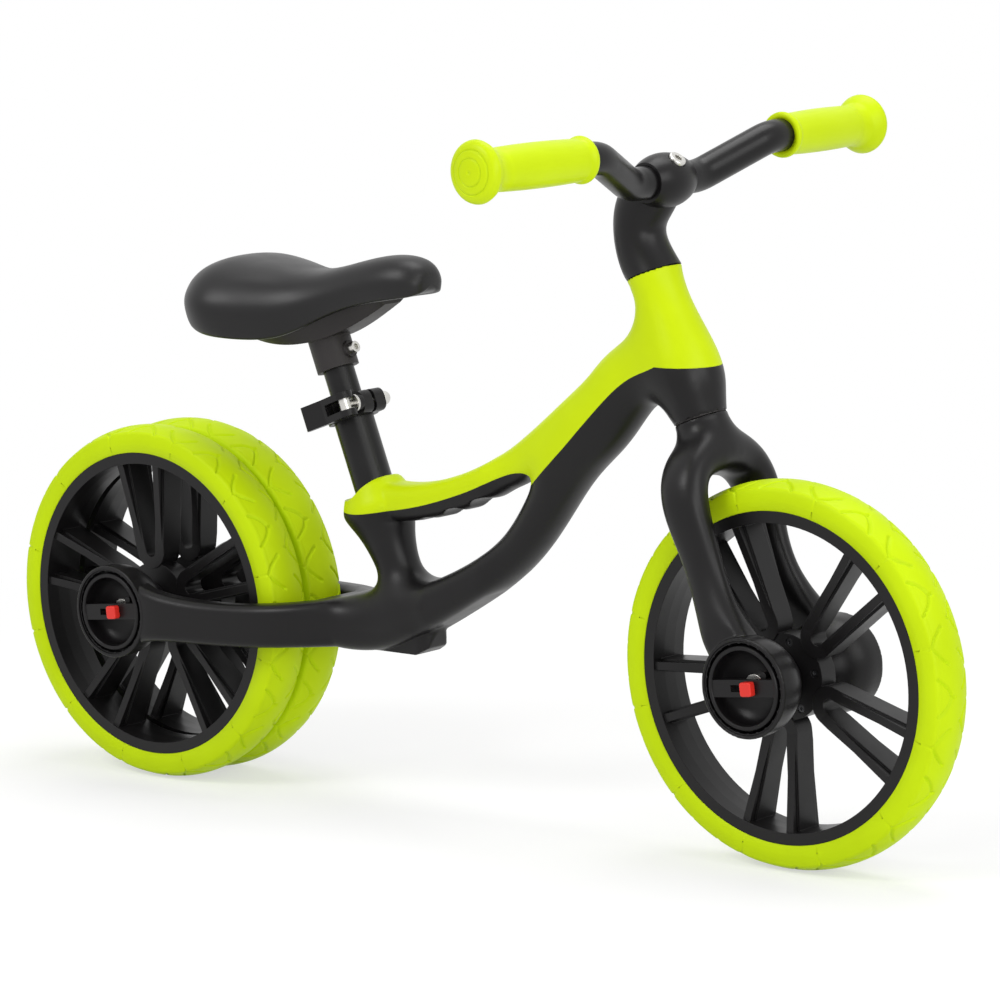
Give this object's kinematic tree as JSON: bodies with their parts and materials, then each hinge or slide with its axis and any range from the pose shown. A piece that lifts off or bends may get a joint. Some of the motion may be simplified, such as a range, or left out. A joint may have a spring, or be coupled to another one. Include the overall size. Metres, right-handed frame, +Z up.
{
  "type": "balance bike",
  "caption": "Child's balance bike with a moulded step-through frame, carrying handle, U-spoked wheels, twin rear wheel and a quick-release saddle post",
  "frame": {"origin": "on the floor, under the middle of the bike's bounding box", "axes": "+X forward, +Y to the rider's left, +Z up"},
  "size_m": [0.815, 0.431, 0.4948],
  "materials": {
    "black_plastic": "satin moulded",
    "lime_plastic": "glossy moulded",
    "lime_foam": "matte foam",
    "lime_rubber": "soft textured",
    "black_paint": "satin powder coat",
    "steel": "zinc plated",
    "red_plastic": "glossy moulded",
    "grey_plastic": "satin moulded",
    "saddle_skin": "satin skinned foam"
  },
  "bodies": {
    "frame": {"frame_body": "black_plastic", "right_stay": "black_plastic", "left_stay": "black_plastic", "rear_detent_ring": "black_plastic", "frame_cover": "lime_plastic", "seat_tube": "black_paint", "seat_shim": "grey_plastic", "seat_clamp": "black_plastic", "clamp_bolt": "steel", "clamp_barrel": "steel", "clamp_nut": "steel", "clamp_bush": "black_plastic", "clamp_washer": "steel", "upper_head_bush": "grey_plastic", "lower_head_bush": "grey_plastic", "rear_axle_cap": "black_plastic", "rear_hub_spacer": "grey_plastic", "rear_washers": "steel"},
    "steering": {"fork": "black_plastic", "steerer_tube": "black_paint", "stem": "black_plastic", "handlebar": "black_paint", "handlebar_bolt": "steel", "right_grip": "lime_rubber", "left_grip": "lime_rubber", "front_axle_cap": "black_plastic", "front_washers": "steel", "front_detent_ring": "black_plastic"},
    "saddle": {"seat_post": "black_paint", "saddle_base": "grey_plastic", "saddle_cushion": "saddle_skin", "saddle_bolt": "steel"},
    "clamp_lever": {"clamp_lever": "black_plastic"},
    "front_wheel": {"front_tyre": "lime_foam", "front_rim": "black_plastic", "front_bearings": "steel", "front_hub_screws": "steel"},
    "rear_right_wheel": {"rear_right_tyre": "lime_foam", "rear_right_rim": "black_plastic", "rear_right_bearings": "steel"},
    "rear_left_wheel": {"rear_left_tyre": "lime_foam", "rear_left_rim": "black_plastic", "rear_left_bearings": "steel"},
    "front_knob": {"front_knob": "black_plastic", "front_axle": "steel", "front_latch_pin": "black_plastic"},
    "rear_knob": {"rear_knob": "black_plastic", "rear_axle": "steel", "rear_latch_pin": "black_plastic"},
    "front_button": {"front_button": "red_plastic"},
    "rear_button": {"rear_button": "red_plastic"}
  },
  "joints": [
    {"name": "steering_turn", "type": "hinge", "parent": "frame", "child": "steering", "pos_m": [0.27003, 0, 0.12713], "axis": [-0.3584, 0, 0.9336], "range_deg": [-45, 45]},
    {"name": "saddle_height", "type": "slide", "parent": "frame", "child": "saddle", "axis": [-0.3502, 0, 0.9367], "range_m": [-0.018, 0.05]},
    {"name": "clamp_lever_swing", "type": "hinge", "parent": "frame", "child": "clamp_lever", "pos_m": [-0.08673, -0.026, 0.28792], "axis": [-0.3502, 0, 0.9367], "range_deg": [0, 110]},
    {"name": "front_wheel_spin", "type": "hinge", "parent": "steering", "child": "front_wheel", "pos_m": [0.2775, 0, 0.13], "axis": [0, 1, 0], "continuous": true},
    {"name": "rear_right_wheel_spin", "type": "hinge", "parent": "frame", "child": "rear_right_wheel", "pos_m": [-0.2775, 0, 0.13], "axis": [0, 1, 0], "continuous": true},
    {"name": "rear_left_wheel_spin", "type": "hinge", "parent": "frame", "child": "rear_left_wheel", "pos_m": [-0.2775, 0, 0.13], "axis": [0, 1, 0], "continuous": true},
    {"name": "front_knob_turn", "type": "hinge", "parent": "steering", "child": "front_knob", "pos_m": [0.2775, 0, 0.13], "axis": [0, 1, 0], "range_deg": [0, 90]},
    {"name": "rear_knob_turn", "type": "hinge", "parent": "frame", "child": "rear_knob", "pos_m": [-0.2775, 0, 0.13], "axis": [0, 1, 0], "range_deg": [0, 90]},
    {"name": "front_button_slide", "type": "slide", "parent": "front_knob", "child": "front_button", "axis": [-0.9945, 0, -0.1045], "range_m": [0, 0.011]},
    {"name": "rear_button_slide", "type": "slide", "parent": "rear_knob", "child": "rear_button", "axis": [-0.9945, 0, -0.1045], "range_m": [0, 0.011]}
  ]
}
